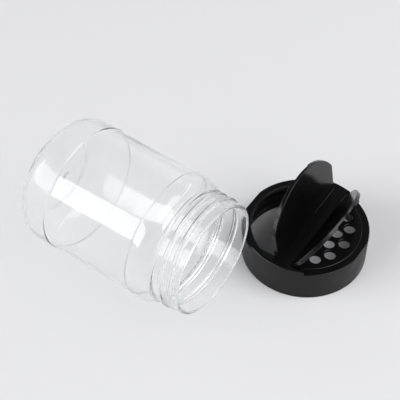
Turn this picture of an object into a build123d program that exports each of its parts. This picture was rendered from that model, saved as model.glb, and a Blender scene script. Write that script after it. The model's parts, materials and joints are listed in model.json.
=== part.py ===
from build123d import *
import os
from math import asin, cos, degrees, radians, sin

# A clear jar lies on its side and its black two-flap shaker cap stands open beside it.
# Sizes are in millimetres. +Z is up, the jar's axis runs along X, and its mouth faces +X.

# Jar body
jar_length = 84.6
body_radius = 29.3
body_wall = 0.9
panel_recess = 0.5
base_band = 17.4
shoulder_band_start = 60.8
shoulder_band_width = 3.2
band_slope = 0.8
shoulder_radius = 6.0
shoulder_turn = 60.0
heel_radius = 9.0
foot_width = 2.0
push_up = 4.0

# Jar neck and its thread
neck_radius = 25.4
neck_wall = 1.5
lip_round = 0.5
bead_radius = 26.6
bead_width = 1.6
bead_below_mouth = 12.6
bead_round = 0.5
thread_height = 1.0
thread_foot = 2.6
thread_crest = 1.1
thread_pitch = 4.5
thread_turns = 1.6
thread_below_mouth = 2.2
thread_root = 0.4

# Cap skirt and deck
cap_radius = 28.0
ledge_height = 15.6
deck_thickness = 1.0
crown_rise = 2.0
thread_clearance = 0.25
skirt_edge_round = 0.5
platform_rise = 0.3
rim_width = 3.0
rim_end_width = 1.2
pour_rim_width = 0.7
cap_thread_height = 0.8
cap_thread_start = 2.6

# Hinge bar, measured across the cap from its axis towards the sifter side
pour_hinge_at = 0.2
sifter_hinge_at = 7.0
hinge_below_crown = 0.3
hinge_bead_radius = 0.5
hinge_clearance = 0.05
bar_setback = 0.2

# Flaps
flap_half_length = 24.4
flap_corner = 1.2
pour_flap_overhang = 0.4
flap_gap = 0.3
plate_thickness = 1.2
seat_gap = 0.1
plate_start = 0.1
thumb_angle = 15.5
plug_wall = 1.1
plug_depth = 3.05
plug_clearance = 0.45
opening_from_hinge = 2.6
pour_flap_open = 80.4
sifter_flap_open = 58.0

# Thumb scoops in the skirt under the middle of each flap
scoop_depth = 0.75
scoop_height = 7.0

# Sifter holes
hole_diameter = 5.0
outer_row_radius = 19.2
outer_row_angles = (-47.8, -27.3, 0.0, 27.3, 47.8)
inner_row_at = 13.7
inner_row_half_spacing = 3.55

# Where the cap stands: its near edge is beside the jar's axis, and reaches back past the mouth
cap_edge_beside = 20.8
cap_edge_behind = 13.4
cap_turn = 2.7

# The origin is on the table, under the middle of the whole arrangement
cap_ahead = cap_radius - cap_edge_behind
cap_beside = cap_radius + cap_edge_beside
mouth_x = jar_length - (jar_length + cap_ahead + cap_radius) / 2
jar_y = -(cap_beside + cap_radius - body_radius) / 2
base_x = mouth_x - jar_length

across = Vector(cos(radians(cap_turn)), sin(radians(cap_turn)), 0)
along = Vector(-sin(radians(cap_turn)), cos(radians(cap_turn)), 0)
upward = Vector(0, 0, 1)
cap_foot = Vector(mouth_x + cap_ahead, jar_y + cap_beside, 0)
cap_plane = Plane(cap_foot, x_dir=across, z_dir=upward)

skirt_inner_radius = neck_radius + thread_height + thread_clearance
deck_underside = ledge_height - deck_thickness
crown_height = ledge_height + crown_rise
hinge_height = crown_height - hinge_below_crown
groove_radius = hinge_bead_radius + hinge_clearance
rim_inner_radius = cap_radius - rim_width
rim_half_length = flap_half_length - rim_end_width
platform_radius = rim_inner_radius - flap_gap
platform_half_length = rim_half_length - flap_gap
opening_radius = platform_radius - pour_rim_width
opening_half_length = platform_half_length - pour_rim_width
pocket_half_length = flap_half_length + flap_gap

os.makedirs("parts", exist_ok=True)


# Jar: the outer wall and the cavity are two half sections spun about the jar's axis
jar_section = Plane((base_x, jar_y, body_radius), x_dir=(1, 0, 0), z_dir=(0, -1, 0))
jar_axis = Axis((base_x, jar_y, body_radius), (1, 0, 0))
panel_radius = body_radius - panel_recess
foot_outer = body_radius - heel_radius
foot_inner = foot_outer - foot_width
dome_radius = (foot_inner**2 + push_up**2) / (2 * push_up)
shoulder_band_end = shoulder_band_start + shoulder_band_width
cavity_radius = panel_radius - body_wall
cavity_inset = body_radius - cavity_radius
neck_inner_radius = neck_radius - neck_wall
bead_at = jar_length - bead_below_mouth - bead_width / 2
thread_at = jar_length - thread_below_mouth - thread_foot / 2 - thread_pitch * thread_turns

with BuildPart() as jar:
    with BuildSketch(jar_section):
        with BuildLine():
            dome = RadiusArc((push_up, 0), (0, foot_inner), dome_radius)
            Line((0, foot_inner), (0, foot_outer))
            heel = JernArc((0, foot_outer), (0, 1), heel_radius, -90)
            shoulder = JernArc((shoulder_band_end, body_radius), (1, 0), shoulder_radius, -shoulder_turn)
            neck_foot = shoulder @ 1 + (shoulder % 1) * (((shoulder @ 1).Y - neck_radius) / -(shoulder % 1).Y)
            Polyline(
                heel @ 1,
                (base_band - band_slope / 2, body_radius),
                (base_band + band_slope / 2, panel_radius),
                (shoulder_band_start - band_slope / 2, panel_radius),
                (shoulder_band_start + band_slope / 2, body_radius),
                shoulder @ 0,
            )
            Polyline(shoulder @ 1, neck_foot, (jar_length, neck_radius), (jar_length, 0), (push_up, 0))
        make_face()
    revolve(axis=jar_axis)

    with BuildSketch(jar_section) as bead:
        with Locations((bead_at, (neck_radius + bead_radius - neck_wall) / 2)):
            Rectangle(bead_width, bead_radius - neck_radius + neck_wall)
        fillet(bead.vertices().group_by(Axis.Y)[-1], bead_round)
    revolve(axis=jar_axis)

    with BuildSketch(jar_section):
        with BuildLine():
            dome = RadiusArc((push_up + body_wall, 0), (body_wall, foot_inner), dome_radius)
            Line((body_wall, foot_inner), (body_wall, foot_outer))
            heel = JernArc((body_wall, foot_outer), (0, 1), heel_radius - cavity_inset, -90)
            shoulder = JernArc(
                (shoulder_band_end, cavity_radius), (1, 0), shoulder_radius - cavity_inset, -shoulder_turn
            )
            drop = ((shoulder @ 1).Y - neck_inner_radius) / -(shoulder % 1).Y
            neck_foot = shoulder @ 1 + (shoulder % 1) * drop
            Line(heel @ 1, shoulder @ 0)
            Polyline(
                shoulder @ 1,
                neck_foot,
                (jar_length, neck_inner_radius),
                (jar_length, 0),
                (push_up + body_wall, 0),
            )
        make_face()
    revolve(axis=jar_axis, mode=Mode.SUBTRACT)
    lip_edges = jar.edges().filter_by(GeomType.CIRCLE).group_by(Axis.X)[-1]
    fillet(lip_edges, lip_round)

    with BuildLine(Plane.XY, mode=Mode.PRIVATE) as thread_line:
        Helix(
            thread_pitch,
            thread_pitch * thread_turns,
            neck_radius,
            center=(base_x + thread_at, jar_y, body_radius),
            direction=(1, 0, 0),
        )
    thread_start = thread_line.line @ 0
    outward = (thread_start - Vector(thread_start.X, jar_y, body_radius)).normalized()
    with BuildSketch(Plane(thread_start, x_dir=outward, z_dir=thread_line.line % 0)):
        with BuildLine():
            Polyline(
                (-thread_root, -thread_foot / 2),
                (thread_height, -thread_crest / 2),
                (thread_height, thread_crest / 2),
                (-thread_root, thread_foot / 2),
                close=True,
            )
        make_face()
    sweep(path=thread_line.line, is_frenet=True)

jar.part.label = "jar"
export_step(jar.part, "parts/jar.step")


# Cap body: skirt, deck, hinge bar with its two end blocks, openings, thread and thumb scoops
scoop_drop = degrees(asin(scoop_depth / scoop_height))

with BuildPart() as cap_body:
    with BuildSketch(cap_plane):
        Circle(cap_radius)
    extrude(amount=ledge_height)
    fillet(cap_body.edges().group_by(Axis.Z)[0], skirt_edge_round)

    for side in (-1, 1):
        scoop_edge = cap_radius - scoop_depth
        scoop_origin = cap_plane.from_local_coords((side * scoop_edge, 0, ledge_height))
        scoop_out = across * side * cos(radians(scoop_drop)) + upward * sin(radians(scoop_drop))
        with BuildSketch(Plane(scoop_origin, x_dir=along, z_dir=scoop_out)):
            Rectangle(2 * cap_radius, 4 * scoop_height)
        extrude(amount=cap_radius, mode=Mode.SUBTRACT)

    with BuildSketch(cap_plane.offset(ledge_height)):
        Circle(cap_radius)
        with Locations((pour_hinge_at + bar_setback - cap_radius, 0)):
            Rectangle(2 * cap_radius, 2 * pocket_half_length, mode=Mode.SUBTRACT)
        with Locations((sifter_hinge_at - bar_setback + cap_radius, 0)):
            Rectangle(2 * cap_radius, 2 * pocket_half_length, mode=Mode.SUBTRACT)
    extrude(amount=crown_rise)

    with BuildSketch(cap_plane.offset(ledge_height)):
        Circle(platform_radius)
        Rectangle(2 * cap_radius, 2 * platform_half_length, mode=Mode.INTERSECT)
    extrude(amount=platform_rise)

    with BuildSketch(cap_plane):
        Circle(skirt_inner_radius)
    extrude(amount=deck_underside, mode=Mode.SUBTRACT)

    with BuildSketch(cap_plane.offset(deck_underside)):
        Circle(opening_radius)
        with Locations((pour_hinge_at - opening_from_hinge - cap_radius, 0)):
            Rectangle(2 * cap_radius, 2 * opening_half_length, mode=Mode.INTERSECT)
    extrude(amount=deck_thickness + platform_rise, mode=Mode.SUBTRACT)

    with BuildSketch(cap_plane.offset(deck_underside)):
        for angle in outer_row_angles:
            with Locations((outer_row_radius * cos(radians(angle)), outer_row_radius * sin(radians(angle)))):
                Circle(hole_diameter / 2)
        with Locations((inner_row_at, -inner_row_half_spacing), (inner_row_at, inner_row_half_spacing)):
            Circle(hole_diameter / 2)
    extrude(amount=deck_thickness + platform_rise, mode=Mode.SUBTRACT)

    for hinge_at in (pour_hinge_at, sifter_hinge_at):
        groove_start = cap_plane.from_local_coords((hinge_at, -pocket_half_length, hinge_height))
        with BuildSketch(Plane(groove_start, x_dir=across, z_dir=along)):
            Circle(groove_radius)
        extrude(amount=2 * pocket_half_length, mode=Mode.SUBTRACT)

    with BuildLine(Plane.XY, mode=Mode.PRIVATE) as cap_thread_line:
        Helix(
            thread_pitch,
            thread_pitch * thread_turns,
            skirt_inner_radius,
            center=(cap_foot.X, cap_foot.Y, cap_thread_start),
        )
    cap_thread_begin = cap_thread_line.line @ 0
    inward = (Vector(cap_foot.X, cap_foot.Y, cap_thread_begin.Z) - cap_thread_begin).normalized()
    with BuildSketch(Plane(cap_thread_begin, x_dir=inward, z_dir=cap_thread_line.line % 0)):
        with BuildLine():
            Polyline(
                (-thread_root, -thread_foot / 2),
                (cap_thread_height, -thread_crest / 2),
                (cap_thread_height, thread_crest / 2),
                (-thread_root, thread_foot / 2),
                close=True,
            )
        make_face()
    sweep(path=cap_thread_line.line, is_frenet=True)

cap_body.part.label = "cap_body"
export_step(cap_body.part, "parts/cap_body.step")


# Flaps: a plate over each half of the deck, drawn in its own plane at the angle it stands open.
# In that plane x runs from the hinge to the free edge, and z is the plate's upper side.
def flap_plane(side, hinge_at, opened):
    outward = across * side * cos(radians(opened)) + upward * sin(radians(opened))
    face = upward * cos(radians(opened)) - across * side * sin(radians(opened))
    return Plane(cap_plane.from_local_coords((hinge_at, 0, hinge_height)), x_dir=outward, z_dir=face)


plate_bottom = hinge_below_crown - plate_thickness
rim_bottom = seat_gap - (hinge_height - ledge_height)
thumb_half_width = cap_radius * sin(radians(thumb_angle))

with BuildPart() as pour_flap:
    pour_plane = flap_plane(-1, pour_hinge_at, pour_flap_open)
    cap_centre = pour_hinge_at
    edge_centre = cap_centre + pour_flap_overhang
    with BuildSketch(pour_plane.offset(plate_bottom)) as outline:
        with Locations((edge_centre, 0)):
            Circle(cap_radius)
        with Locations((plate_start + cap_radius, 0)):
            Rectangle(2 * cap_radius, 2 * flap_half_length, mode=Mode.INTERSECT)
        fillet(outline.vertices().group_by(Axis.X)[1], flap_corner)
    extrude(amount=plate_thickness)

    with BuildSketch(pour_plane.offset(rim_bottom)) as outline:
        with Locations((edge_centre, 0)):
            Circle(cap_radius)
        with Locations((plate_start + cap_radius, 0)):
            Rectangle(2 * cap_radius, 2 * flap_half_length, mode=Mode.INTERSECT)
        fillet(outline.vertices().group_by(Axis.X)[1], flap_corner)
        with BuildSketch(mode=Mode.SUBTRACT):
            with Locations((cap_centre, 0)):
                Circle(rim_inner_radius)
            Rectangle(2 * cap_radius, 2 * rim_half_length, mode=Mode.INTERSECT)
        with Locations((cap_radius, 0)):
            Rectangle(cap_radius, 2 * thumb_half_width, mode=Mode.SUBTRACT)
    extrude(amount=plate_bottom - rim_bottom)

    plug_start = opening_from_hinge + plug_clearance
    plug_radius = opening_radius - plug_clearance
    plug_half_length = opening_half_length - plug_clearance
    with BuildSketch(pour_plane.offset(hinge_below_crown - plug_depth)):
        with Locations((cap_centre, 0)):
            Circle(plug_radius)
        with Locations((plug_start + cap_radius, 0)):
            Rectangle(2 * cap_radius, 2 * plug_half_length, mode=Mode.INTERSECT)
        with BuildSketch(mode=Mode.SUBTRACT):
            with Locations((cap_centre, 0)):
                Circle(plug_radius - plug_wall)
            with Locations((plug_start + plug_wall + cap_radius, 0)):
                Rectangle(2 * cap_radius, 2 * (plug_half_length - plug_wall), mode=Mode.INTERSECT)
    extrude(amount=plug_depth - plate_thickness)

    bead_start = pour_plane.from_local_coords((0, -flap_half_length, 0))
    with BuildSketch(Plane(bead_start, x_dir=pour_plane.x_dir, z_dir=pour_plane.y_dir)):
        Circle(hinge_bead_radius)
    extrude(amount=2 * flap_half_length)

pour_flap.part.label = "pour_flap"
export_step(pour_flap.part, "parts/pour_flap.step")

with BuildPart() as sifter_flap:
    sifter_plane = flap_plane(1, sifter_hinge_at, sifter_flap_open)
    cap_centre = -sifter_hinge_at
    with BuildSketch(sifter_plane.offset(plate_bottom)) as outline:
        with Locations((cap_centre, 0)):
            Circle(cap_radius)
        with Locations((plate_start + cap_radius, 0)):
            Rectangle(2 * cap_radius, 2 * flap_half_length, mode=Mode.INTERSECT)
        fillet(outline.vertices().group_by(Axis.X)[1], flap_corner)
    extrude(amount=plate_thickness)

    with BuildSketch(sifter_plane.offset(rim_bottom)) as outline:
        with Locations((cap_centre, 0)):
            Circle(cap_radius)
        with Locations((plate_start + cap_radius, 0)):
            Rectangle(2 * cap_radius, 2 * flap_half_length, mode=Mode.INTERSECT)
        fillet(outline.vertices().group_by(Axis.X)[1], flap_corner)
        with BuildSketch(mode=Mode.SUBTRACT):
            with Locations((cap_centre, 0)):
                Circle(rim_inner_radius)
            Rectangle(2 * cap_radius, 2 * rim_half_length, mode=Mode.INTERSECT)
        with Locations((cap_radius, 0)):
            Rectangle(cap_radius, 2 * thumb_half_width, mode=Mode.SUBTRACT)
    extrude(amount=plate_bottom - rim_bottom)

    bead_start = sifter_plane.from_local_coords((0, -flap_half_length, 0))
    with BuildSketch(Plane(bead_start, x_dir=sifter_plane.x_dir, z_dir=sifter_plane.y_dir)):
        Circle(hinge_bead_radius)
    extrude(amount=2 * flap_half_length)

sifter_flap.part.label = "sifter_flap"
export_step(sifter_flap.part, "parts/sifter_flap.step")
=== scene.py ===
# %% [markdown]
# # A clear spice jar and its two-flap shaker cap
# A clear blow-moulded jar lies on its side on a pale table. Its black cap stands beside the mouth with
# the pour flap and the sifter flap open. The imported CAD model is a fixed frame: it says where every piece
# is and how the flaps turn. This lesson builds a finer mesh over each CAD piece and gives it the finish
# of the real plastic.

# %% Load the fixed frame
import json
import math
import bpy
from mathutils import Matrix, Quaternion, Vector

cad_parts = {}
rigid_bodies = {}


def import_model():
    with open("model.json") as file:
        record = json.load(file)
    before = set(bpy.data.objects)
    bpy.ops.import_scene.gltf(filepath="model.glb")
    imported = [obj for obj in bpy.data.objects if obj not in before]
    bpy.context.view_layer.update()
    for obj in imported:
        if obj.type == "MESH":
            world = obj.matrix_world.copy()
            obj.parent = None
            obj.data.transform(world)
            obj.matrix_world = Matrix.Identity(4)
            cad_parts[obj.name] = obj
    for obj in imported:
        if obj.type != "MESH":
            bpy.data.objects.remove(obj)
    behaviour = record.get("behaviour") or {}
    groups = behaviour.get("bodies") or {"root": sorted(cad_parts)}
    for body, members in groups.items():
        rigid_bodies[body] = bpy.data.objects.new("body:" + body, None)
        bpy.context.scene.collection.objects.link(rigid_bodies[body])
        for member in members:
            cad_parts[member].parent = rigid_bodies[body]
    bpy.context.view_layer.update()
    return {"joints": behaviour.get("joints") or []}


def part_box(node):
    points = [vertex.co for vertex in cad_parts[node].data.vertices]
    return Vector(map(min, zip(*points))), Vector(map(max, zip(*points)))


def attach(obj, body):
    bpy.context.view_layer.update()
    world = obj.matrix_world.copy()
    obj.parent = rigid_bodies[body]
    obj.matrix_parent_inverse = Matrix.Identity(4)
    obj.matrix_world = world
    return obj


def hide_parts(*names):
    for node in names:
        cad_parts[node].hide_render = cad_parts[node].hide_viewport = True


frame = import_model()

scene = bpy.context.scene
mm = 0.001
joints = {joint["name"]: joint for joint in frame["joints"]}

# %% [markdown]
# ## The camera
# The camera comes first, because everything later is seen through it. It looks down at about 48
# degrees from 500 mm away, near enough for the mouth to look larger than the base. It could be placed by
# eye, but here its direction, distance and lens come from fitting the round edges of the cap and the jar.

# %% Camera
aim = Vector((-19.27, 20.86, 0.0)) * mm
around = math.radians(36.74)
above = math.radians(48.03)
roll = math.radians(-0.36)
distance = 499.7 * mm
to_camera = Vector((
    math.sin(around) * math.cos(above),
    -math.cos(around) * math.cos(above),
    math.sin(above),
))
camera_data = bpy.data.cameras.new("studio_camera")
camera_data.lens = 95.77
camera_data.sensor_width = 36
camera_data.clip_start = 0.01
camera_data.clip_end = 20
camera = bpy.data.objects.new("studio_camera", camera_data)
camera.rotation_mode = "QUATERNION"
camera.rotation_quaternion = to_camera.to_track_quat("Z", "Y") @ Quaternion((0, 0, 1), roll)
camera.location = aim + to_camera * distance
scene.collection.objects.link(camera)
scene.camera = camera
print("camera at mm:", [round(v / mm, 1) for v in camera.location])

# %% [markdown]
# ## Outlines with rounded corners
# Moulded plastic has no sharp corners. Each section is written as a few corners with a radius at each
# one, just as on a drawing, and this helper turns the radii into arcs. A bevel modifier could do it
# later, but then the radius would not be free at every corner.

# %% Helpers for outlines
def rounded_path(corners, step=math.radians(12)):
    """Points along corners (x, y) or (x, y, radius). In a closed outline the last is next to the first."""
    points = []
    for index, corner in enumerate(corners):
        here = Vector(corner[:2])
        if len(corner) == 2:
            points.append(here)
            continue
        before = (Vector(corners[index - 1][:2]) - here).normalized()
        after = (Vector(corners[(index + 1) % len(corners)][:2]) - here).normalized()
        half = before.angle(after) / 2
        middle = here + (before + after).normalized() * (corner[2] / math.sin(half))
        first = here + before * (corner[2] / math.tan(half)) - middle
        last = here + after * (corner[2] / math.tan(half)) - middle
        start = math.atan2(first.y, first.x)
        turn = (math.atan2(last.y, last.x) - start + math.pi) % math.tau - math.pi
        count = max(2, math.ceil(abs(turn) / step))
        for k in range(count + 1):
            angle = start + turn * k / count
            points.append(middle + corner[2] * Vector((math.cos(angle), math.sin(angle))))
    return points


def even_rows(low, high, radius, step=0.25):
    """Points at one radius, close enough together along the axis for a thread to be raised from them."""
    count = round(abs(high - low) / step)
    return [(low + (high - low) * k / count, radius) for k in range(count + 1)]


trial_square = [(0, 0, 1), (4, 0, 1), (4, 4, 1), (0, 4, 1)]
print("a square with four round corners has", len(rounded_path(trial_square)), "points")

# %% [markdown]
# ## Spinning a section
# The jar and the cap's skirt are round, so each is a half section spun about an axis. The Screw modifier
# could spin it, but rows of points written here close at the poles and keep every face outwards. The
# section starts and ends on the axis and runs once round the wall, outside and inside, so the mesh is a
# closed skin with a real wall thickness. Clear plastic needs that: light bends at both faces of the wall.

# %% Helpers for spun meshes
def spun_mesh(name, section, segments=192):
    """A closed mesh from (height, radius) points, spun about Z. A radius of zero makes a pole."""
    vertices = []
    rows = []
    for height, radius in section:
        count = segments if radius > 0 else 1
        rows.append((len(vertices), count))
        for k in range(count):
            angle = math.tau * k / segments
            vertices.append((radius * math.cos(angle), radius * math.sin(angle), height))
    faces = []
    for (low, low_count), (high, high_count) in zip(rows, rows[1:]):
        for k in range(segments):
            j = (k + 1) % segments
            if low_count == 1:
                faces.append((low, high + j, high + k))
            elif high_count == 1:
                faces.append((low + k, low + j, high))
            else:
                faces.append((low + k, low + j, high + j, high + k))
    mesh = bpy.data.meshes.new(name)
    mesh.from_pydata(vertices, [], faces)
    return mesh


def linked(name, mesh):
    """A new object in the scene for a mesh."""
    made = bpy.data.objects.new(name, mesh)
    scene.collection.objects.link(made)
    return made


def evaluated_mesh(source):
    """The mesh that an object's modifiers give, as plain data."""
    bpy.context.view_layer.update()
    return bpy.data.meshes.new_from_object(source.evaluated_get(bpy.context.evaluated_depsgraph_get()))

# %% [markdown]
# ## The screw thread as a rule
# A thread is a ridge that climbs round a wall by one pitch in each turn and fades out at both ends. It
# could be a profile swept along a spiral, but in clear plastic the hidden faces where the ridge meets the
# wall would show. So a Geometry Nodes tree moves the points of the wall itself. The same tree serves the
# jar's neck and the cap.

# %% Helpers for node trees
def set_or_link(tree, socket, value):
    """Gives a socket a plain number, or the output of another node."""
    if isinstance(value, (int, float)):
        socket.default_value = value
    else:
        tree.links.new(value, socket)


def math_step(tree, operation, *values):
    """Adds one maths node to a tree and returns its output."""
    node = tree.nodes.new("ShaderNodeMath")
    node.operation = operation
    for socket, value in zip(node.inputs, values):
        set_or_link(tree, socket, value)
    return node.outputs[0]


def smooth_step(tree, value, low, high, at_low, at_high):
    """Adds a smooth ramp: at_low up to low, at_high from high on."""
    node = tree.nodes.new("ShaderNodeMapRange")
    node.interpolation_type = "SMOOTHSTEP"
    titles = ("Value", "From Min", "From Max", "To Min", "To Max")
    for title, entry in zip(titles, (value, low, high, at_low, at_high)):
        set_or_link(tree, node.inputs[title], entry)
    return node.outputs["Result"]


def new_tree(name, floats, others):
    """An empty geometry tree with named inputs. Returns the tree, its input outlets and its output node."""
    tree = bpy.data.node_groups.new(name, "GeometryNodeTree")
    tree.interface.new_socket("Geometry", in_out="INPUT", socket_type="NodeSocketGeometry")
    for title in floats:
        tree.interface.new_socket(title, in_out="INPUT", socket_type="NodeSocketFloat")
    for title, kind in others:
        tree.interface.new_socket(title, in_out="INPUT", socket_type=kind)
    tree.interface.new_socket("Geometry", in_out="OUTPUT", socket_type="NodeSocketGeometry")
    start = tree.nodes.new("NodeGroupInput")
    end = tree.nodes.new("NodeGroupOutput")
    return tree, start.outputs, end


def finish_tree(tree, geometry, material, end):
    """Ends a tree as the export needs it: plain geometry with its material set."""
    realize = tree.nodes.new("GeometryNodeRealizeInstances")
    paint = tree.nodes.new("GeometryNodeSetMaterial")
    tree.links.new(geometry, realize.inputs[0])
    tree.links.new(realize.outputs[0], paint.inputs["Geometry"])
    tree.links.new(material, paint.inputs["Material"])
    tree.links.new(paint.outputs[0], end.inputs[0])


def through_tree(source, tree, **inputs):
    """Runs an object's mesh through a tree with the given inputs and keeps the plain result."""
    modifier = source.modifiers.new(tree.name, "NODES")
    modifier.node_group = tree
    for item in tree.interface.items_tree:
        keyword = item.name.lower().replace(" ", "_")
        if item.in_out == "INPUT" and keyword in inputs:
            modifier[item.identifier] = inputs[keyword]
    mesh = evaluated_mesh(source)
    source.modifiers.remove(modifier)
    source.data = mesh

# %% Geometry Nodes tree for a thread
thread_sizes = (
    "Wall Radius", "Start", "Start Turn", "Pitch", "Turns", "Height", "Foot", "Crest", "Run Out",
)
thread_tree, given, thread_end = new_tree(
    "moulded_thread", thread_sizes, [("Material", "NodeSocketMaterial")]
)
wall_tolerance = 0.01


def thread_step(operation, *values):
    """One maths node of the thread tree."""
    return math_step(thread_tree, operation, *values)


place = thread_tree.nodes.new("GeometryNodeInputPosition")
split = thread_tree.nodes.new("ShaderNodeSeparateXYZ")
thread_tree.links.new(place.outputs[0], split.inputs[0])
x, y, z = split.outputs
radius_squared = thread_step("ADD", thread_step("MULTIPLY", x, x), thread_step("MULTIPLY", y, y))
radius = thread_step("SQRT", radius_squared)
on_wall = thread_step("COMPARE", radius, given["Wall Radius"], wall_tolerance)
turned = thread_step("DIVIDE", thread_step("ARCTAN2", y, x), math.tau)
part_turn = thread_step("FRACT", thread_step("SUBTRACT", turned, given["Start Turn"]))
climbed = thread_step("DIVIDE", thread_step("SUBTRACT", z, given["Start"]), given["Pitch"])
whole_turns = thread_step("ROUND", thread_step("SUBTRACT", climbed, part_turn))
along_thread = thread_step("ADD", whole_turns, part_turn)
away = thread_step("ABSOLUTE", thread_step("SUBTRACT", climbed, along_thread))
away = thread_step("MULTIPLY", away, given["Pitch"])
half_crest = thread_step("DIVIDE", given["Crest"], 2.0)
half_foot = thread_step("DIVIDE", given["Foot"], 2.0)
ridge = smooth_step(thread_tree, away, half_crest, half_foot, 1.0, 0.0)
fade_in = smooth_step(thread_tree, along_thread, 0.0, given["Run Out"], 0.0, 1.0)
fade_from = thread_step("SUBTRACT", given["Turns"], given["Run Out"])
fade_out = smooth_step(thread_tree, along_thread, fade_from, given["Turns"], 1.0, 0.0)
rise = thread_step("MULTIPLY", ridge, fade_in)
rise = thread_step("MULTIPLY", rise, thread_step("MULTIPLY", fade_out, on_wall))
rise = thread_step("DIVIDE", thread_step("MULTIPLY", rise, given["Height"]), radius)
push = thread_tree.nodes.new("ShaderNodeCombineXYZ")
thread_tree.links.new(thread_step("MULTIPLY", x, rise), push.inputs["X"])
thread_tree.links.new(thread_step("MULTIPLY", y, rise), push.inputs["Y"])
move = thread_tree.nodes.new("GeometryNodeSetPosition")
thread_tree.links.new(given["Geometry"], move.inputs["Geometry"])
thread_tree.links.new(push.outputs[0], move.inputs["Offset"])
finish_tree(thread_tree, move.outputs[0], given["Material"], thread_end)
print("thread tree has", len(thread_tree.nodes), "nodes")

# %% [markdown]
# ## Clear plastic
# PET is clear and glossy, and a blown wall is never quite even: faint waves bend the reflections. A plain
# glass shader would show a perfect wall, so this one is glass-like transmission at PET's index, with a
# wavy bump and a roughness that drifts a little. The inside never touched a mould and is duller, and the
# thick base is wavier than the wall. Light that only passes through to the table is let straight on,
# because a thin clear wall casts hardly any shadow.

# %% Helpers for materials
def node_material(name):
    """A material with one Principled shader. Returns it, its tree and the shader."""
    material = bpy.data.materials.new(name)
    material.use_nodes = True
    tree = material.node_tree
    return material, tree, tree.nodes["Principled BSDF"]


def noise_on(tree, scale, detail, stretch=(1, 1, 1)):
    """A noise pattern on Object coordinates, in features per metre."""
    spot = tree.nodes.new("ShaderNodeTexCoord")
    mapping = tree.nodes.new("ShaderNodeMapping")
    mapping.inputs["Scale"].default_value = stretch
    noise = tree.nodes.new("ShaderNodeTexNoise")
    noise.inputs["Scale"].default_value = scale
    noise.inputs["Detail"].default_value = detail
    tree.links.new(spot.outputs["Object"], mapping.inputs["Vector"])
    tree.links.new(mapping.outputs[0], noise.inputs["Vector"])
    return noise.outputs["Fac"]


def bump_from(tree, height, strength, depth, under=None):
    """A bump node of a given depth in metres, on top of another bump if there is one."""
    bump = tree.nodes.new("ShaderNodeBump")
    bump.inputs["Strength"].default_value = strength
    bump.inputs["Distance"].default_value = depth
    tree.links.new(height, bump.inputs["Height"])
    if under is not None:
        tree.links.new(under, bump.inputs["Normal"])
    return bump.outputs[0]

# %% Materials for the jar
def clear_material(name, smoothest, roughest, shine, wave_depth):
    """Clear PET with a drifting roughness, a share of its full shine, and waves of a depth in metres."""
    material, tree, shader = node_material(name)
    shader.inputs["Base Color"].default_value = (0.996, 1.0, 0.998, 1)
    shader.inputs["Transmission Weight"].default_value = 1.0
    shader.inputs["IOR"].default_value = 1.57
    shader.inputs["Specular Tint"].default_value = (shine, shine, shine, 1)
    blotches = noise_on(tree, scale=140, detail=3)
    drift = smooth_step(tree, blotches, low=0.35, high=0.7, at_low=smoothest, at_high=roughest)
    tree.links.new(drift, shader.inputs["Roughness"])
    waves = noise_on(tree, scale=55, detail=1.5, stretch=(0.5, 1, 1))
    tree.links.new(bump_from(tree, waves, strength=0.35, depth=wave_depth), shader.inputs["Normal"])
    path = tree.nodes.new("ShaderNodeLightPath")
    passing = tree.nodes.new("ShaderNodeBsdfTransparent")
    passing.inputs["Color"].default_value = (0.98, 0.983, 0.983, 1)
    surface = shader.outputs[0]
    for ray in ("Is Diffuse Ray", "Is Shadow Ray"):
        either = tree.nodes.new("ShaderNodeMixShader")
        tree.links.new(path.outputs[ray], either.inputs[0])
        tree.links.new(surface, either.inputs[1])
        tree.links.new(passing.outputs[0], either.inputs[2])
        surface = either.outputs[0]
    tree.links.new(surface, tree.nodes["Material Output"].inputs["Surface"])
    return material


clear_pet = clear_material("clear_pet", smoothest=0.015, roughest=0.06, shine=0.9, wave_depth=0.0004)
clear_pet_inside = clear_material(
    "clear_pet_inside", smoothest=0.07, roughest=0.12, shine=0.35, wave_depth=0.0004
)
clear_pet_base = clear_material(
    "clear_pet_base", smoothest=0.06, roughest=0.12, shine=0.4, wave_depth=0.002
)
print("clear plastics:", clear_pet.name, clear_pet_inside.name, clear_pet_base.name)

# %% [markdown]
# ## The jar
# The section runs from the middle of the pushed-up base, round the heel, up the body with its slightly
# sunk label panel, over the shoulder and the ring under the thread, round the lip and back down inside. A
# cylinder could be pushed into shape by hand, but a written section keeps the wall even and every band at
# its size. The neck has close rows of points for the thread tree. Then the mesh is laid on its side,
# where the CAD jar lies.

# %% Sizes of the jar
low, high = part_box("jar")
jar_length = (high.x - low.x) / mm
jar_axis_y = (low.y + high.y) / 2 / mm
body_radius = (high.z - low.z) / 2 / mm
wall = 0.9
body_inside = body_radius - wall
panel_radius = body_radius - 0.5
panel_inside = panel_radius - wall
neck_radius = 25.4
neck_inside = 23.9
foot_inside = 18.3
foot_round = 6.0
heel_round = 9.0
inner_heel_round = 8.0
push_up = 4.0
dome_radius = (foot_inside**2 + push_up**2) / (2 * push_up)
dome_edge = 16.6
dome_radii = [2.4 + 1.5 * k for k in range(10)]
gate_depth = 0.3
base_band = 17.4
shoulder_band = 60.8
step_half = 0.4
step_round = 0.9
shoulder = shoulder_band + 6.66
shoulder_round = 6.0
inner_shoulder = shoulder - 1.03
inner_shoulder_round = 4.8
neck_start = shoulder + 2.26
neck_start_round = 0.7
inner_neck_start = shoulder + 1.51
inner_neck_round = 3.4
bead_start = jar_length - 14.2
bead_end = jar_length - 12.6
bead_radius = 26.6
bead_round = 0.7
bead_root_rounds = (0.2, 0.3)
thread_start = jar_length - 10.7
thread_from = jar_length - 11.9
thread_to = jar_length - 0.9
neck_thread_height = 1.0
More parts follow.
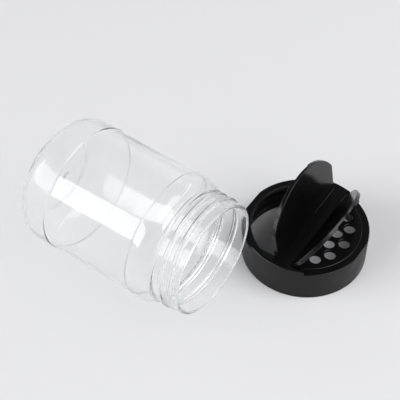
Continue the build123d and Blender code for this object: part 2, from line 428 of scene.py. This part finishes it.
thread_form = {"start_turn": 0.0, "pitch": 4.5, "turns": 1.6, "foot": 2.6, "crest": 1.0, "run_out": 0.06}
lip_round = 0.6
inside_joint = jar_length - 5.0
print("jar: length", round(jar_length, 2), "mm, widest radius", round(body_radius, 2), "mm")

# %% Section of the jar
def dome_points(top, radii):
    """Points of the pushed-up base at the given radii, for a dome whose middle is at height top."""
    return [(top - dome_radius + math.sqrt(dome_radius**2 - r * r), r) for r in radii]


gate_mark = [
    (push_up - gate_depth, 0.0),
    (push_up - gate_depth, 1.3),
    (push_up - 0.22, 1.6),
    (push_up - 0.05, 1.85),
]
outside = gate_mark + dome_points(push_up, dome_radii) + rounded_path([
    *dome_points(push_up, [dome_edge]),
    (0.0, foot_inside, foot_round),
    (0.0, body_radius, heel_round),
    (base_band - step_half, body_radius, step_round),
    (base_band + step_half, panel_radius, step_round),
    (shoulder_band - step_half, panel_radius, step_round),
    (shoulder_band + step_half, body_radius, step_round),
    (shoulder, body_radius, shoulder_round),
    (neck_start, neck_radius, neck_start_round),
    (bead_start, neck_radius, bead_root_rounds[0]),
    (bead_start, bead_radius, bead_round),
    (bead_end, bead_radius, bead_round),
    (bead_end, neck_radius, bead_root_rounds[1]),
    (thread_from - 0.2, neck_radius),
])
lip = rounded_path([
    (thread_to + 0.1, neck_radius),
    (jar_length, neck_radius, lip_round),
    (jar_length, neck_inside, lip_round),
    (inside_joint, neck_inside),
])
inside = rounded_path([
    (inside_joint, neck_inside),
    (inner_neck_start, neck_inside, inner_neck_round),
    (inner_shoulder, body_inside, inner_shoulder_round),
    (shoulder_band + step_half, body_inside, step_round),
    (shoulder_band - step_half, panel_inside, step_round),
    (base_band + step_half, panel_inside, step_round),
    (base_band - step_half, body_inside, step_round),
    (wall, body_inside, inner_heel_round),
    (wall, foot_inside, foot_round),
    *dome_points(push_up + wall, [dome_edge]),
])[1:] + dome_points(push_up + wall, dome_radii[::-1] + [1.0, 0.0])
section = outside + even_rows(thread_from, thread_to, neck_radius)[:-1] + lip + inside
print("the jar's section has", len(section), "points")

# %% Jar
jar = linked("clear_jar", spun_mesh("clear_jar", section))
through_tree(
    jar, thread_tree,
    wall_radius=neck_radius, start=thread_start, height=neck_thread_height, material=clear_pet,
    **thread_form,
)
jar.data.materials.append(clear_pet_inside)
jar.data.materials.append(clear_pet_base)
wall_slot, inside_slot, base_slot = range(3)
for face in jar.data.polygons:
    if face.center.x * face.normal.x + face.center.y * face.normal.y < 0:
        face.material_index = inside_slot
    elif face.center.z < base_band - step_half:
        face.material_index = base_slot
    else:
        face.material_index = wall_slot
lay_down = Matrix((
    (0, 0, mm, low.x),
    (mm, 0, 0, jar_axis_y * mm),
    (0, mm, 0, body_radius * mm),
    (0, 0, 0, 1),
))
jar.data.transform(lay_down)
jar.data.shade_smooth()
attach(jar, "jar")
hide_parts("jar")
print("jar:", len(jar.data.polygons), "faces")

# %% [markdown]
# ## Black plastics
# The cap is one black moulding, but its skirt left the mould with a satin face and its deck and flaps
# with a polished one. One black could serve for both, but then the flaps would not mirror the room. Both
# shaders are nearly black with a slow drift of colour and roughness. The satin one has a fine grain in
# its bump, and the polished one only the faint waviness and hairlines of handling.

# %% Materials for the cap
def black_plastic(name, darkest, lightest, blotch_scale, specular):
    """A nearly black plastic whose colour drifts. Returns the material, its tree and the shader."""
    material, tree, shader = node_material(name)
    shade = tree.nodes.new("ShaderNodeMix")
    shade.data_type = "RGBA"
    shade.inputs["A"].default_value = darkest
    shade.inputs["B"].default_value = lightest
    tree.links.new(noise_on(tree, blotch_scale, detail=4), shade.inputs["Factor"])
    tree.links.new(shade.outputs["Result"], shader.inputs["Base Color"])
    shader.inputs["Specular IOR Level"].default_value = specular
    return material, tree, shader


black_satin, tree, shader = black_plastic(
    "black_satin", (0.0026, 0.0026, 0.003, 1), (0.005, 0.005, 0.0054, 1), blotch_scale=90, specular=0.22
)
blotches = noise_on(tree, scale=160, detail=5)
drift = smooth_step(tree, blotches, low=0.3, high=0.7, at_low=0.30, at_high=0.42)
tree.links.new(drift, shader.inputs["Roughness"])
grain = noise_on(tree, scale=4200, detail=2)
tree.links.new(bump_from(tree, grain, strength=0.25, depth=0.00004), shader.inputs["Normal"])

black_gloss, tree, shader = black_plastic(
    "black_gloss", (0.0025, 0.0025, 0.003, 1), (0.005, 0.005, 0.0055, 1), blotch_scale=70, specular=0.34
)
blotches = noise_on(tree, scale=220, detail=5)
drift = smooth_step(tree, blotches, low=0.3, high=0.75, at_low=0.15, at_high=0.21)
tree.links.new(drift, shader.inputs["Roughness"])
ripple = bump_from(tree, noise_on(tree, scale=60, detail=1), strength=0.15, depth=0.0003)
hairlines = noise_on(tree, scale=900, detail=2, stretch=(0.06, 1, 1))
handled = bump_from(tree, hairlines, strength=0.06, depth=0.00003, under=ripple)
tree.links.new(handled, shader.inputs["Normal"])
print("black plastics:", black_satin.name, black_gloss.name)

# %% [markdown]
# ## Flat pieces and cutting
# The deck's steps and the flaps are flat outlines with a thickness and a rounded rim. A stack of the same
# outline, drawn in a little at each height, gives that rim. A bevel could round it after the cutting, but
# it stumbles over the small faces that a cut leaves. Pieces are then joined and cut with boolean
# modifiers, which is how the mould itself was made: one block, with the pockets and holes taken out.

# %% Helpers for flat pieces
def drawn_in(outline, inset):
    """The outline moved inwards by inset, or outwards where it is negative."""
    moved = []
    for index, here in enumerate(outline):
        before = (here - outline[index - 1]).normalized()
        after = (outline[(index + 1) % len(outline)] - here).normalized()
        one = Vector((-before.y, before.x))
        two = Vector((-after.y, after.x))
        moved.append(here + (one + two) * (inset / (1 + one.dot(two))))
    return moved


def stacked_mesh(name, outline, rows):
    """A closed solid: the outline, counter-clockwise from above, repeated at each (height, inset)."""
    size = len(outline)
    vertices = []
    faces = []
    for height, inset in rows:
        vertices += [(p.x, p.y, height) for p in drawn_in(outline, inset)]
    for row in range(len(rows) - 1):
        for k in range(size):
            j = (k + 1) % size
            faces.append((row * size + k, row * size + j, (row + 1) * size + j, (row + 1) * size + k))
    faces.append(tuple(reversed(range(size))))
    faces.append(tuple(range((len(rows) - 1) * size, len(rows) * size)))
    mesh = bpy.data.meshes.new(name)
    mesh.from_pydata(vertices, [], faces)
    return mesh


def rim_rows(height, radius, sign=1, steps=4):
    """Rows of a rounded rim below height (sign 1), or of a flared edge for a cutter (sign -1)."""
    rows = []
    for k in range(steps + 1):
        angle = math.radians(90 * k / steps)
        drop = radius * (1 - math.sin(angle))
        inset = radius * (1 - math.cos(angle))
        rows.append((height - drop, sign * inset))
    return rows


def arc(radius, start, end, middle=(0.0, 0.0), step=2.0):
    """Points of an arc in degrees, end included."""
    count = max(1, math.ceil(abs(end - start) / step))
    turns = [math.radians(start + (end - start) * k / count) for k in range(count + 1)]
    return [(middle[0] + radius * math.cos(a), middle[1] + radius * math.sin(a)) for a in turns]


def half_round(radius, middle, start, half_length, corner=1.2):
    """A D: straight at x = start, straight ends at y = half_length, and an arc about (middle, 0)."""
    swing = math.degrees(math.asin(half_length / radius))
    bow = arc(radius, -swing, swing, (middle, 0.0))
    return rounded_path([
        (start, -half_length),
        (*bow[0], corner), *bow[1:-1], (*bow[-1], corner),
        (start, half_length),
    ])

# %% Helpers for cutting and shading
level_face = 0.9998
crease_angle = math.radians(38)


def combined(base, operation, *others):
    """Joins or cuts base with other objects and removes them."""
    for other in others:
        modifier = base.modifiers.new(other.name, "BOOLEAN")
        modifier.operation = operation
        modifier.solver = "MANIFOLD"
        modifier.object = other
    mesh = evaluated_mesh(base)
    base.modifiers.clear()
    base.data = mesh
    for other in others:
        bpy.data.objects.remove(other)
    return base


def rod(name, radius, half_length, place):
    """A round rod along Y at (x, z)."""
    ends = [(-half_length, 0.0), (-half_length, radius), (half_length, radius), (half_length, 0.0)]
    mesh = spun_mesh(name, ends, segments=32)
    along_y = Matrix.Rotation(math.radians(-90), 4, "X")
    mesh.transform(Matrix.Translation((place[0], 0, place[1])) @ along_y)
    return linked(name, mesh)


def smooth_faces(piece):
    """Smooth shading with crisp creases, and normals that keep large flat faces flat."""
    piece.data.shade_smooth()
    piece.data.set_sharp_from_angle(angle=crease_angle)
    for face in piece.data.polygons:
        face.use_smooth = abs(face.normal.z) < level_face
    weighted = piece.modifiers.new("flat_faces_flat", "WEIGHTED_NORMAL")
    weighted.keep_sharp = True
    mesh = evaluated_mesh(piece)
    piece.modifiers.clear()
    piece.data = mesh

# %% [markdown]
# ## The cap body
# The skirt is spun with its inner thread, up to the full height of the crown. Two pockets are cut for the
# flaps, which leaves the hinge bar and its end blocks standing. A low platform is added in each pocket,
# and then come the pour opening, the thumb scoops and the grooves of the hinges. The deck could be put
# together from plates, but one block that is cut stays closed, as a moulding is.

# %% Sizes of the cap
low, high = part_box("cap_body")
cap_middle = (low + high) / 2
crown = high.z / mm
cap_radius = (high.x - low.x) / 2 / mm
ledge = 15.6
below_ledge = 15.0
platform = 15.9
deck_underside = 14.6
deck_flat = 20.0
skirt_inside = 26.65
hinge_line = Vector(joints["pour_flap_hinge"]["axis"])
cap_turn = math.atan2(-hinge_line.x, hinge_line.y)
across = Vector((math.cos(cap_turn), math.sin(cap_turn), 0))
pour_hinge, sifter_hinge = (
    (Vector(joints[name]["pos_m"]) - cap_middle).dot(across) / mm
    for name in ("pour_flap_hinge", "sifter_flap_hinge")
)
print("hinges lie", round(pour_hinge, 2), "and", round(sifter_hinge, 2), "mm across from the cap's axis")

# %% Skirt with its thread
thread_top = 13.5
thread_bottom = 0.75
cap_thread_start = 2.6
cap_thread_height = -0.8
deck_corner_round = 0.7
inner_foot_round = 0.3
outer_foot_round = 0.5
crown_round = 0.45
skirt_section = [(deck_underside, 0.0)] + rounded_path([
    (deck_underside, deck_flat),
    (deck_underside, skirt_inside, deck_corner_round),
    (thread_top + 0.2, skirt_inside),
]) + even_rows(thread_top, thread_bottom, skirt_inside) + rounded_path([
    (thread_bottom, skirt_inside),
    (0.0, skirt_inside, inner_foot_round),
    (0.0, cap_radius, outer_foot_round),
    (crown, cap_radius, crown_round),
    (crown, deck_flat),
])[1:] + [(crown, 0.0)]
cap = linked("cap_skirt_and_deck", spun_mesh("cap_skirt_and_deck", skirt_section))
through_tree(
    cap, thread_tree,
    wall_radius=skirt_inside, start=cap_thread_start, height=cap_thread_height, material=black_satin,
    **thread_form,
)
print("skirt:", len(cap.data.polygons), "faces")

# %% Pockets and platforms
pocket_half = 24.7
pocket_reach = 33
pocket_corner = 0.5
edge_flare = 0.3
ledge_round = 0.4
past_skirt = 34.0
floor_top = 19.0
above_crown = 20.0
bar_setback = 0.2


def pocket(name, corners):
    """The room for one flap: a prism with a flared top, on a floor whose outer edge is rounded."""
    wall_rows = [(below_ledge - 0.1, 0.0)] + rim_rows(crown, edge_flare, -1) + [(above_crown, -edge_flare)]
    walls = stacked_mesh(name, rounded_path(corners), wall_rows)
    floor = [(ledge, 0.0)] + rounded_path([
        (ledge, deck_flat),
        (ledge, cap_radius, ledge_round),
        (below_ledge, cap_radius),
    ]) + [(below_ledge, past_skirt), (floor_top, past_skirt), (floor_top, 0.0)]
    return combined(linked(name, walls), "INTERSECT", linked("floor", spun_mesh("floor", floor)))


pour_pocket = pocket("pour_pocket", [
    (-pocket_reach, -pocket_half),
    (pour_hinge + bar_setback, -pocket_half, pocket_corner),
    (pour_hinge + bar_setback, pocket_half, pocket_corner),
    (-pocket_reach, pocket_half),
])
sifter_pocket = pocket("sifter_pocket", [
    (pocket_reach, pocket_half),
    (sifter_hinge - bar_setback, pocket_half, pocket_corner),
    (sifter_hinge - bar_setback, -pocket_half, pocket_corner),
    (pocket_reach, -pocket_half),
])
combined(cap, "DIFFERENCE", pour_pocket, sifter_pocket)

platform_radius = 24.7
platform_half = 22.9
platform_round = 0.29
sifter_platform_from = 5.0
pour_platform_from = -1.0
platform_rows = [(below_ledge, 0.0)] + rim_rows(platform, platform_round)
sifter_outline = half_round(platform_radius, 0.0, sifter_platform_from, platform_half)
pour_outline = [-p for p in half_round(platform_radius, 0.0, pour_platform_from, platform_half)]
sifter_platform = linked("sifter_platform", stacked_mesh("sifter_platform", sifter_outline, platform_rows))
pour_platform = linked("pour_platform", stacked_mesh("pour_platform", pour_outline, platform_rows))
combined(cap, "UNION", sifter_platform, pour_platform)
print("cap before its openings:", len(cap.data.polygons), "faces")

# %% [markdown]
# ## The sifter holes
# Seven round holes let the seasoning through, five in an outer row and two behind it. They could be cut
# one by one, but one rounded cutter is enough: a small Geometry Nodes tree puts a copy of it on each
# point of the pattern. The cutter is flared at the top, which leaves the soft lip that a moulded hole
# has.

# %% Hole cutters
hole_tree, given, hole_end = new_tree(
    "hole_cutters", ("Hole Scale",), [("Cutter", "NodeSocketObject"), ("Material", "NodeSocketMaterial")]
)
cutter_info = hole_tree.nodes.new("GeometryNodeObjectInfo")
copies = hole_tree.nodes.new("GeometryNodeInstanceOnPoints")
hole_tree.links.new(given["Cutter"], cutter_info.inputs["Object"])
hole_tree.links.new(given["Geometry"], copies.inputs["Points"])
hole_tree.links.new(cutter_info.outputs["Geometry"], copies.inputs["Instance"])
hole_tree.links.new(given["Hole Scale"], copies.inputs["Scale"])
finish_tree(hole_tree, copies.outputs[0], given["Material"], hole_end)

hole_radius = 2.5
lip_flare = 0.35
cut_from = 12.0
cut_to = 17.0
outer_row_radius = 19.2
outer_row_angles = [math.radians(a) for a in (-47.8, -27.3, 0.0, 27.3, 47.8)]
inner_row_at = 13.7
inner_row_half_spacing = 3.55
cutter_section = [(cut_from, 0.0), (cut_from, hole_radius)] + [
    (height, hole_radius - inset) for height, inset in rim_rows(platform, lip_flare, -1)
] + [(cut_to, hole_radius + lip_flare), (cut_to, 0.0)]
cutter = linked("hole_cutter", spun_mesh("hole_cutter", cutter_section, segments=40))
hole_places = [
    (outer_row_radius * math.cos(a), outer_row_radius * math.sin(a), 0) for a in outer_row_angles
]
hole_places += [(inner_row_at, side * inner_row_half_spacing, 0) for side in (-1, 1)]
pattern = bpy.data.meshes.new("hole_pattern")
pattern.from_pydata(hole_places, [], [])
holes = linked("hole_pattern", pattern)
through_tree(holes, hole_tree, hole_scale=1.0, cutter=cutter, material=black_gloss)
bpy.data.objects.remove(cutter)
print("hole cutters:", len(hole_places), "copies,", len(holes.data.polygons), "faces")

# %% Pour opening, thumb scoops and hinge grooves
opening_radius = 24.0
opening_half = 22.2
opening_from_hinge = 2.6
scoop_depth = 0.75
scoop_height = 7.0
scoop_block = (10.0, 20.0, 14.0)
hinge_height = crown - 0.3
groove_radius = 0.55
opening_rows = [(cut_from, 0.0)] + rim_rows(platform, lip_flare, -1) + [(cut_to, -lip_flare)]
opening_from = opening_from_hinge - pour_hinge
opening_outline = [-p for p in half_round(opening_radius, 0.0, opening_from, opening_half)]
opening = linked("pour_opening", stacked_mesh("pour_opening", opening_outline, opening_rows))


def thumb_scoop(side):
    """A slanting cut that takes the skirt's edge back at the top and fades out lower down."""
    lean = math.asin(scoop_depth / scoop_height)
    deep, wide, tall = scoop_block
    block = [Vector(corner) for corner in ((0.0, -wide), (deep, -wide), (deep, wide), (0.0, wide))]
    mesh = stacked_mesh("thumb_scoop", block, [(-tall, 0.0), (tall, 0.0)])
    tilt = Matrix.Translation((cap_radius - scoop_depth, 0, ledge)) @ Matrix.Rotation(-lean, 4, "Y")
    mesh.transform(Matrix.Rotation(0 if side > 0 else math.pi, 4, "Z") @ tilt)
    return linked("thumb_scoop", mesh)


disc_radius = 40
disc_rows = [(ledge + 0.01, 0.0), (25.0, 0.0)]
above_ledge = stacked_mesh("above_the_ledge", rounded_path(arc(disc_radius, 0, 358)), disc_rows)
scoops = [
    combined(thumb_scoop(side), "DIFFERENCE", linked("above_the_ledge", above_ledge)) for side in (-1, 1)
]
grooves = [
    rod("hinge_groove", groove_radius, pocket_half, (at, hinge_height)) for at in (pour_hinge, sifter_hinge)
]
combined(cap, "DIFFERENCE", opening, holes, *scoops, *grooves)
print("cap with its openings:", len(cap.data.polygons), "faces")

# %% [markdown]
# ## Finishing the cap body
# The skirt keeps the satin plastic, and everything on top gets the polished one. Two objects could hold
# the two finishes, but the cap is one moulding, so each face of one mesh is sorted by its place: the
# upright faces at the outer edge and all that lies under the deck are satin. Then the cap is turned and
# put where the CAD cap stands.

# %% Cap body finish and place
cap.data.materials.clear()
cap.data.materials.append(black_satin)
cap.data.materials.append(black_gloss)
satin_slot, gloss_slot = range(2)
skirt_band = 1.0
upright = 0.5
for face in cap.data.polygons:
    reach = math.hypot(face.center.x, face.center.y)
    on_skirt = reach > cap_radius - skirt_band and abs(face.normal.z) < upright
    under_deck = face.center.z < deck_underside + 0.01
    face.material_index = satin_slot if on_skirt or under_deck else gloss_slot
smooth_faces(cap)
stand_cap = Matrix.Translation((cap_middle.x, cap_middle.y, 0)) @ Matrix.Rotation(cap_turn, 4, "Z")
cap.data.transform(stand_cap @ Matrix.Scale(mm, 4))
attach(cap, "cap")
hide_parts("cap_body")
print("cap body:", len(cap.data.polygons), "faces, turned", round(math.degrees(cap_turn), 2), "degrees")

# %% [markdown]
# ## The flaps
# Each flap is a D-shaped plate with a rim turned down round its edge, left out in the middle for a thumb.
# The pour flap also has a low wall underneath that plugs the opening. They could be modelled where they
# stand, but on a slant no size can be read. So they are drawn flat in their own plane, with the hinge at
# x = 0, and then swung open about the hinge by the angle at which the CAD flap stands.

# %% Rim of a flap
flap_half = 24.4
flap_top = 0.3
plate_bottom = -0.9
plate_round = 0.32
plate_start = 0.1
into_plate = -0.5
rim_start = 0.3
rim_width = 3.0
rim_end_width = 1.2
rim_setback = 0.02
rim_foot = [(-1.6, 0.2), (-1.5, 0.06), (-1.4, 0.0)]
thumb_gap_half = 7.48
flap_corner = 1.2
gap_round = 0.4
hinge_bead_radius = 0.5


def arc_between(radius, start, stop, centre):
    """An arc about (centre, 0) from one y to another."""
    return arc(radius, *(math.degrees(math.asin(y / radius)) for y in (start, stop)), (centre, 0.0))


def half_rim(middle, overhang, side):
    """One half of the rim: from the hinge along the straight end and round the arc to the thumb gap."""
    end = flap_half - rim_end_width
    outer_bow = arc_between(cap_radius - rim_setback, thumb_gap_half, flap_half, middle + overhang)
    inner_bow = arc_between(cap_radius - rim_width, end, thumb_gap_half, middle)
    points = rounded_path([
        (*outer_bow[0], gap_round), *outer_bow[1:-1], (*outer_bow[-1], flap_corner),
        (rim_start, flap_half), (rim_start, end),
        *inner_bow[:-1], (*inner_bow[-1], gap_round),
    ])
    return points if side > 0 else [Vector((p.x, -p.y)) for p in reversed(points)]


print("each half of a flap's rim has", len(half_rim(pour_hinge, 0.0, 1)), "points round it")

# %% Plug and whole flap
plug_wall = 1.1
plug_clearance = 0.45
plug_corner = 0.9
below_plug = -4.0
plug_foot = [(-2.75, 0.25), (-2.6, 0.08), (-2.45, 0.0)]
pour_flap_overhang = 0.4


def plug_ring(middle):
    """The low wall under the pour flap: a D with rounded foot, hollow inside."""
    outline = half_round(
        opening_radius - plug_clearance, middle, opening_from_hinge + plug_clearance,
        opening_half - plug_clearance, plug_corner,
    )
    ring = linked("plug", stacked_mesh("plug", outline, plug_foot + [(into_plate, 0.0)]))
    hollow_rows = [(height, plug_wall - inset) for height, inset in plug_foot] + [(plate_bottom, plug_wall)]
    hollow_rows.insert(0, (below_plug, hollow_rows[0][1]))
    hollow = linked("plug_hollow", stacked_mesh("plug_hollow", outline, hollow_rows))
    return combined(ring, "DIFFERENCE", hollow)


def flap(name, hinge, middle, overhang, plugs):
    """A whole flap, swung open. middle is where the cap's axis lies, measured from the hinge."""
    plate_rows = [(plate_bottom, 0.0)] + rim_rows(flap_top, plate_round)
    outline = half_round(cap_radius, middle + overhang, plate_start, flap_half, flap_corner)
    plate = linked(name, stacked_mesh(name, outline, plate_rows))
    added = []
    for side in (-1, 1):
        half = stacked_mesh("rim", half_rim(middle, overhang, side), rim_foot + [(into_plate, 0.0)])
        added.append(linked("rim", half))
    added.append(rod("hinge_bead", hinge_bead_radius, flap_half, (0.0, 0.0)))
    if plugs:
        added.append(plug_ring(middle))
    combined(plate, "UNION", *added)
    plate.data.materials.clear()
    plate.data.materials.append(black_gloss)
    smooth_faces(plate)
    opened = math.radians(-joints[hinge]["range_deg"][0])
    outward = Vector((0, 0, 1)).cross(Vector(joints[hinge]["axis"]))
    reach = outward * math.cos(opened) + Vector((0, 0, math.sin(opened)))
    face = Vector((0, 0, math.cos(opened))) - outward * math.sin(opened)
    turn = Matrix((reach, face.cross(reach), face)).transposed().to_4x4()
    at = Vector(joints[hinge]["pos_m"])
    plate.data.transform(Matrix.Translation(at) @ turn @ Matrix.Scale(mm, 4))
    print(name, len(plate.data.polygons), "faces, open", round(math.degrees(opened), 1), "degrees")
    return plate


pour_flap = flap("pour_flap_plate", "pour_flap_hinge", pour_hinge, pour_flap_overhang, True)
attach(pour_flap, "pour_flap")
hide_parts("pour_flap")
sifter_flap = flap("sifter_flap_plate", "sifter_flap_hinge", -sifter_hinge, 0.0, False)
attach(sifter_flap, "sifter_flap")
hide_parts("sifter_flap")

# %% [markdown]
# ## The table and the light
# The table is a plain pale sheet. The key light is a wide, low softbox at the front left: it makes the
# long highlight on the jar. A second softbox stands high at the right and lights the table, and two weak
# ones, at the right and behind, lift the cap's edges. One bright sky would be simpler, but it would leave
# no highlight to read the round shapes by. Together they light a surface to about its written colour.

# %% Table and lamps
table_half = 6
table_material, tree, shader = node_material("pale_table")
shader.inputs["Base Color"].default_value = (0.80, 0.80, 0.81, 1)
shader.inputs["Roughness"].default_value = 0.75
shader.inputs["Specular IOR Level"].default_value = 0.2
sheet = bpy.data.meshes.new("table_sheet")
corners = [(x * table_half, y * table_half, 0) for x, y in ((-1, -1), (1, -1), (1, 1), (-1, 1))]
sheet.from_pydata(corners, [], [(0, 1, 2, 3)])
sheet.materials.append(table_material)
linked("table_sheet", sheet)


def softbox(name, place, size, power):
    """A rectangular area lamp that faces the origin. Place and size are in metres, power in watts."""
    lamp = bpy.data.lights.new(name, "AREA")
    lamp.shape = "RECTANGLE"
    lamp.size, lamp.size_y = size
    lamp.energy = power
    body = bpy.data.objects.new(name, lamp)
    body.location = place
    body.rotation_mode = "QUATERNION"
    body.rotation_quaternion = Vector(place).to_track_quat("Z", "Y")
    scene.collection.objects.link(body)


softbox("key_softbox", place=(-1.14, -1.63, 1.15), size=(2.2, 1.24), power=34)
softbox("top_softbox", place=(1.38, 0.36, 1.84), size=(1.75, 1.75), power=34)
softbox("right_softbox", place=(1.4, -0.55, 1.3), size=(0.8, 0.8), power=2)
softbox("back_strip", place=(1.15, 1.35, 0.95), size=(1.9, 0.22), power=5)
print("lamps:", [lamp.name for lamp in bpy.data.lights])

# %% [markdown]
# ## The room
# The room has pale walls and a dark ceiling, so the black faces that look up stay dark and the upright
# ones catch a soft sheen. Through the clear jar all of it looks pale. A picture of a studio could be
# wrapped round the scene, but two colours and a soft line between them are enough and need no file.

# %% World
wall_colour = (0.84, 0.845, 0.86, 1)
ceiling_colour = (0.13, 0.13, 0.135, 1)
world = bpy.data.worlds.new("studio_room")
world.use_nodes = True
tree = world.node_tree
walls_and_ceiling = tree.nodes["Background"]
direction = tree.nodes.new("ShaderNodeTexCoord")
heading = tree.nodes.new("ShaderNodeSeparateXYZ")
tree.links.new(direction.outputs["Generated"], heading.inputs[0])
room = tree.nodes.new("ShaderNodeMix")
room.data_type = "RGBA"
room.inputs["A"].default_value = wall_colour
room.inputs["B"].default_value = ceiling_colour
upwards = smooth_step(tree, heading.outputs["Z"], low=0.15, high=0.6, at_low=0.0, at_high=1.0)
tree.links.new(upwards, room.inputs["Factor"])
tree.links.new(room.outputs["Result"], walls_and_ceiling.inputs["Color"])
pale_room = tree.nodes.new("ShaderNodeBackground")
pale_room.inputs["Color"].default_value = wall_colour
path = tree.nodes.new("ShaderNodeLightPath")
seen = tree.nodes.new("ShaderNodeMixShader")
tree.links.new(path.outputs["Is Transmission Ray"], seen.inputs[0])
tree.links.new(walls_and_ceiling.outputs[0], seen.inputs[1])
tree.links.new(pale_room.outputs[0], seen.inputs[2])
tree.links.new(seen.outputs[0], tree.nodes["World Output"].inputs["Surface"])
scene.world = world
scene.view_settings.view_transform = "Standard"
scene.cycles.max_bounces = 24
scene.cycles.glossy_bounces = 16
scene.cycles.transmission_bounces = 24
print("room:", len(tree.nodes), "nodes")
